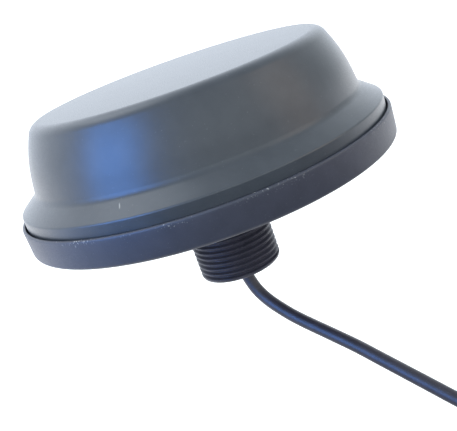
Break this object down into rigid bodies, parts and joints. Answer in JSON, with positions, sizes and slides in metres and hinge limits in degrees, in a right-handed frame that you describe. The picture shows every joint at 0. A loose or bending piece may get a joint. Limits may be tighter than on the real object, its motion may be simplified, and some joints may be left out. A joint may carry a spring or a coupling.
{
  "type": "gnss receiver",
  "caption": "Round GNSS receiver for a panel or bracket: flat-topped radome on a base ring, threaded stub, and a coiled data cable with a screw-on connector.",
  "frame": {"origin": "on the stub's axis, where the stub leaves the underside of the base: the antenna's usual reference point", "axes": "+Z is the way the antenna looks, along the stub's axis and away from the stub; the cable leaves the stub along -Z and turns towards +X and -Y; +Y is away from the camera"},
  "size_m": [0.1739, 0.1214, 0.103],
  "materials": {
    "radome_plastic": "satin",
    "base_plastic": "matte",
    "stub_plastic": "satin",
    "seal_rubber": "matte",
    "brass": "machined",
    "steel": "machined",
    "cable_jacket": "gloss",
    "wire_insulation": "gloss",
    "ivory_nylon": "satin",
    "circuit_board": "gloss",
    "tinned_steel": "satin",
    "chip_epoxy": "matte",
    "adhesive_tape": "matte",
    "ceramic": "matte",
    "silver_layer": "satin",
    "tie_nylon": "satin",
    "connector_plastic": "satin",
    "insert_plastic": "satin",
    "nickel_brass": "nickel plated",
    "gold_contact": "gold plated"
  },
  "bodies": {
    "receiver": {"radome": "radome_plastic", "base_housing": "base_plastic", "threaded_stub": "stub_plastic", "radome_seal": "seal_rubber", "threaded_inserts": "brass", "housing_screws": "steel", "stub_seal": "seal_rubber", "stub_screws": "steel", "panel_gasket": "seal_rubber", "cable_grommet": "seal_rubber", "strain_collar": "brass", "inner_cable": "cable_jacket", "wires": "wire_insulation", "wire_plug": "ivory_nylon", "board_header": "ivory_nylon", "receiver_board": "circuit_board", "shield_frame": "tinned_steel", "shield_lid": "tinned_steel", "gnss_chip": "chip_epoxy", "support_chips": "chip_epoxy", "backup_cell": "steel", "board_spacers": "brass", "antenna_board": "circuit_board", "board_screws": "steel", "amplifier_shield": "tinned_steel", "rf_plugs": "gold_contact", "rf_jumper": "wire_insulation", "patch_tape": "adhesive_tape", "lower_patch": "ceramic", "lower_electrode": "silver_layer", "upper_patch": "ceramic", "upper_electrode": "silver_layer", "feed_pins": "tinned_steel", "cable_lead": "cable_jacket", "cable_coil": "cable_jacket", "coil_ties": "tie_nylon", "cable_tail": "cable_jacket", "connector_body": "connector_plastic", "contact_insert": "insert_plastic", "contact_sockets": "gold_contact", "connector_seal": "seal_rubber"},
    "nut": {"coupling_nut": "nickel_brass"}
  },
  "joints": [
    {"name": "nut_turn", "type": "hinge", "parent": "receiver", "child": "nut", "pos_m": [0.1175, 0.0342, -0.0656], "axis": [0, 1, 0], "continuous": true}
  ]
}
